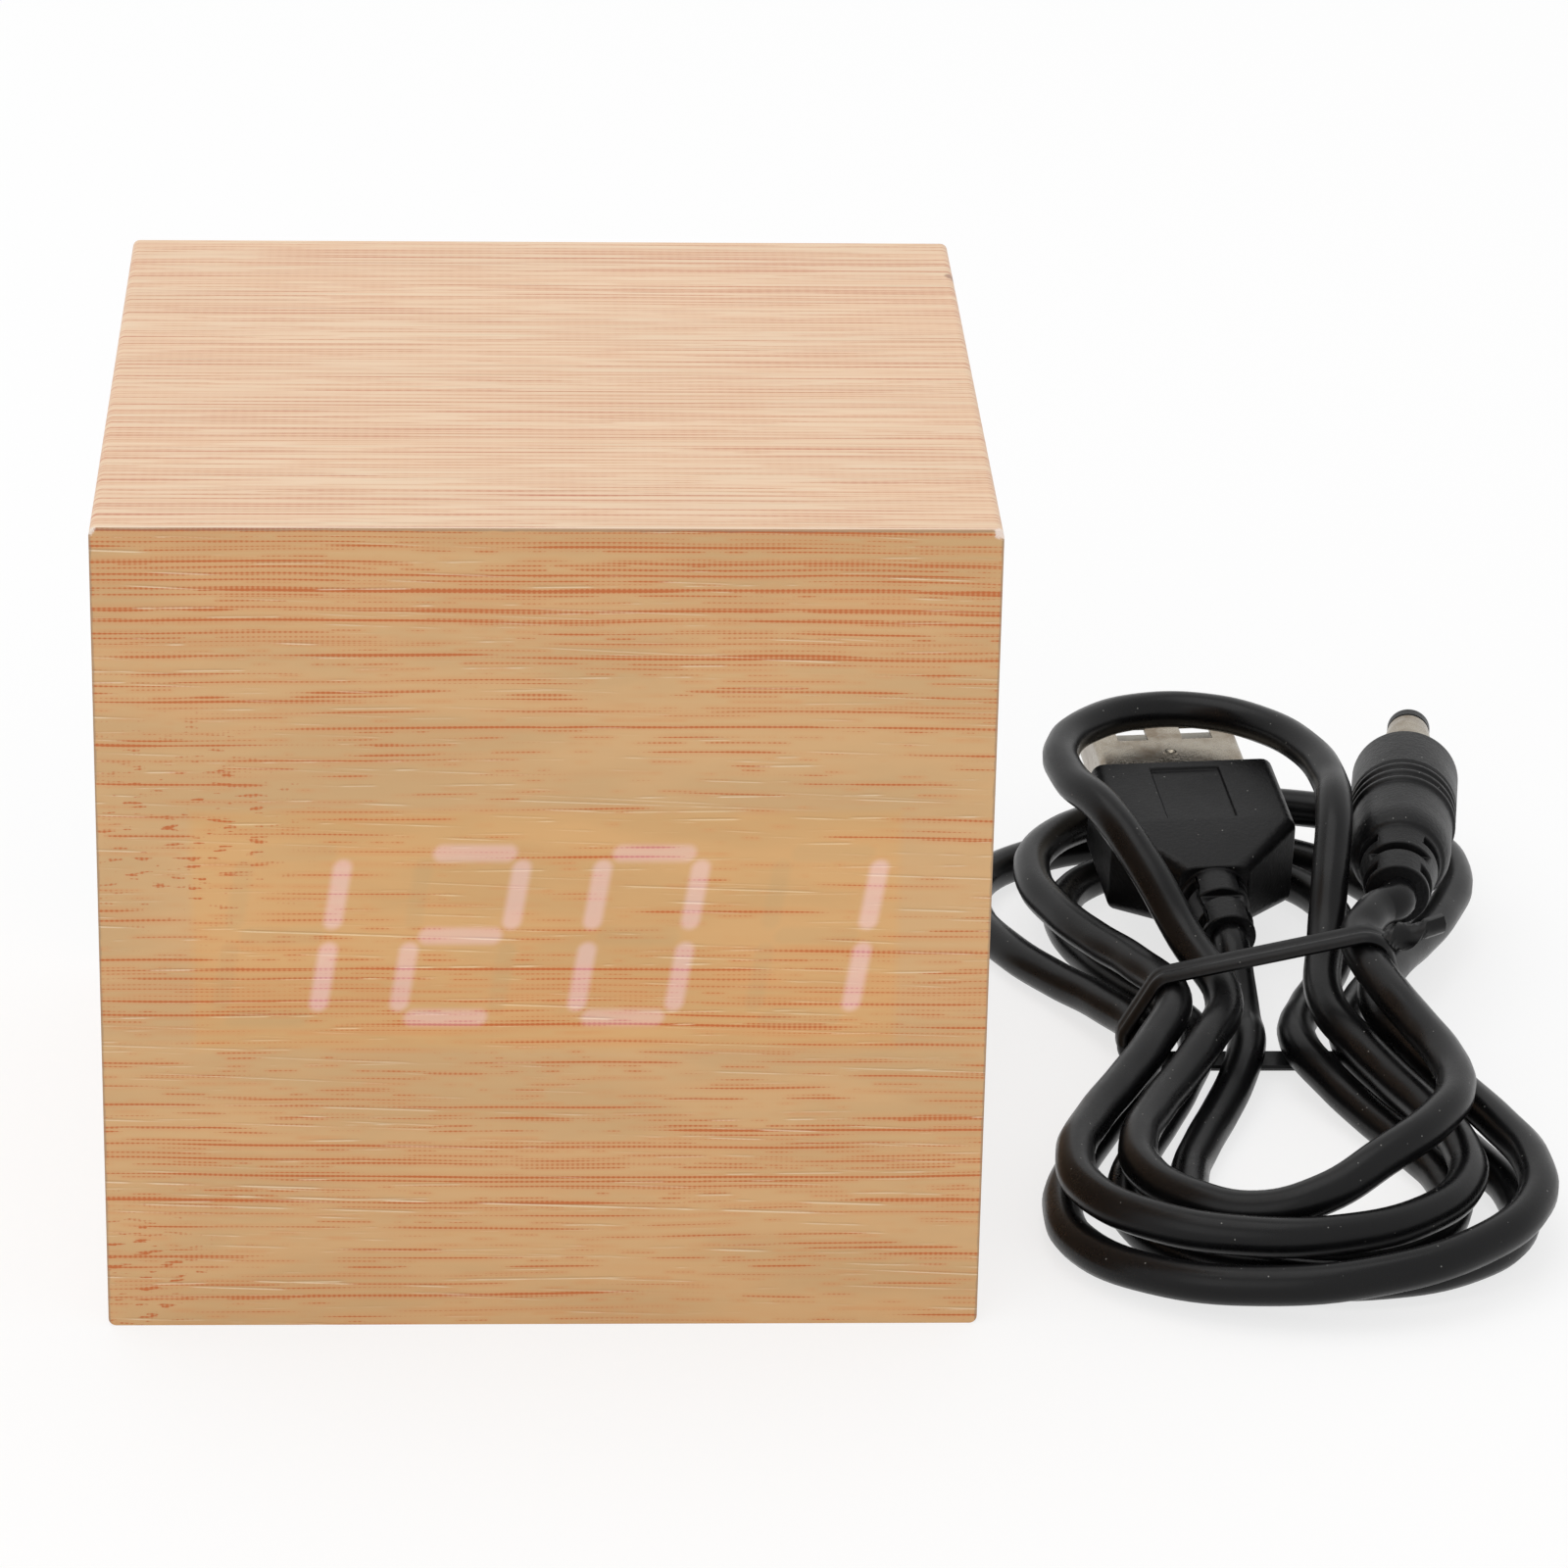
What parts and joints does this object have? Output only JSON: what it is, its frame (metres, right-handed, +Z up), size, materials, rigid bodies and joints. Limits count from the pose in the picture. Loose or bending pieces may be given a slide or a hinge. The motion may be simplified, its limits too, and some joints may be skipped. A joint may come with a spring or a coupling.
{
  "type": "digital desk clock",
  "caption": "Wood-look cube desk clock with a seven-segment time display behind its front film, a battery tray at the back and its charging lead tied in a hank beside it.",
  "frame": {"origin": "middle of the clock's base, on the surface that it stands on", "axes": "+Z up, -Y the way the display faces, +X to the right as the display is read"},
  "size_m": [0.1064, 0.0869, 0.061],
  "materials": {
    "wood_film": "printed wood-look film with a satin, faintly embossed surface",
    "fibreboard": "bare fibreboard",
    "timber": "sawn softwood",
    "black_moulding": "fine matt moulded surface",
    "switch_plastic": "plain moulded surface",
    "plunger_plastic": "plain moulded surface",
    "display_housing": "plain moulded surface",
    "display_resin": "milky cast resin, glowing warm white where a segment is lit",
    "plug_plastic": "natural white nylon",
    "circuit_board": "green solder mask over glass laminate",
    "screw_steel": "zinc-plated steel",
    "plated_contact": "nickel-plated spring steel",
    "plug_metal": "nickel plate with a satin finish and fine wear",
    "cell_sleeve": "plain printed sleeve, glossy",
    "ribbon_insulation": "soft grey insulation",
    "wire_red": "soft insulation",
    "wire_black": "soft insulation",
    "cord_jacket": "satin black vinyl jacket",
    "plug_overmould": "satin black vinyl moulding with a fine spark-eroded texture",
    "tie_plastic": "satin black plastic-covered wire"
  },
  "bodies": {
    "clock": {"case_shell": "wood_film", "front_film": "wood_film", "front_board": "fibreboard", "fixing_block_left": "timber", "fixing_block_right": "timber", "fixing_batten": "timber", "back_cover": "black_moulding", "power_socket": "black_moulding", "sound_sensor": "black_moulding", "switch_body_set": "switch_plastic", "switch_body_up": "switch_plastic", "switch_body_down": "switch_plastic", "controller_chip": "switch_plastic", "driver_chip": "switch_plastic", "buzzer": "switch_plastic", "spacer_bar_lower": "plunger_plastic", "spacer_bar_upper": "plunger_plastic", "display_housing": "display_housing", "display_segments": "display_resin", "ribbon_plug": "plug_plastic", "flat_plug_tongue": "plug_plastic", "main_board": "circuit_board", "button_board": "circuit_board", "board_screw_lower_left": "screw_steel", "board_screw_upper_left": "screw_steel", "board_screw_lower_right": "screw_steel", "board_screw_upper_right": "screw_steel", "button_board_screw_left": "screw_steel", "button_board_screw_right": "screw_steel", "cover_screw_upper_left": "screw_steel", "cover_screw_upper_right": "screw_steel", "cover_screw_lower_left": "screw_steel", "cover_screw_lower_right": "screw_steel", "contact_positive": "plated_contact", "contact_negative": "plated_contact", "contact_link_left": "plated_contact", "contact_link_right": "plated_contact", "power_socket_pin": "plated_contact", "barrel_plug_sleeve": "plug_metal", "flat_plug_shell": "plug_metal", "cell_1": "cell_sleeve", "cell_2": "cell_sleeve", "cell_3": "cell_sleeve", "ribbon_cable": "ribbon_insulation", "wire_positive": "wire_red", "wire_negative": "wire_black", "lead_hank": "cord_jacket", "lead_tail_flat": "cord_jacket", "lead_tail_barrel": "cord_jacket", "flat_plug_body": "plug_overmould", "barrel_plug_body": "plug_overmould", "barrel_plug_tip": "plug_overmould", "lead_tie": "tie_plastic"},
    "button_set_body": {"button_set": "black_moulding", "switch_plunger_set": "plunger_plastic"},
    "button_up_body": {"button_up": "black_moulding", "switch_plunger_up": "plunger_plastic"},
    "button_down_body": {"button_down": "black_moulding", "switch_plunger_down": "plunger_plastic"},
    "door_body": {"battery_door": "black_moulding"}
  },
  "joints": [
    {"name": "press_set", "type": "slide", "parent": "clock", "child": "button_set_body", "axis": [0, -1, 0], "range_m": [0, 0.0005], "stiffness_N_per_m": 200},
    {"name": "press_up", "type": "slide", "parent": "clock", "child": "button_up_body", "axis": [0, -1, 0], "range_m": [0, 0.0005], "stiffness_N_per_m": 200},
    {"name": "press_down", "type": "slide", "parent": "clock", "child": "button_down_body", "axis": [0, -1, 0], "range_m": [0, 0.0005], "stiffness_N_per_m": 200},
    {"name": "door_swing", "type": "hinge", "parent": "clock", "child": "door_body", "pos_m": [0, 0.029, 0.0104], "axis": [-1, 0, 0], "range_deg": [0, 80]}
  ]
}
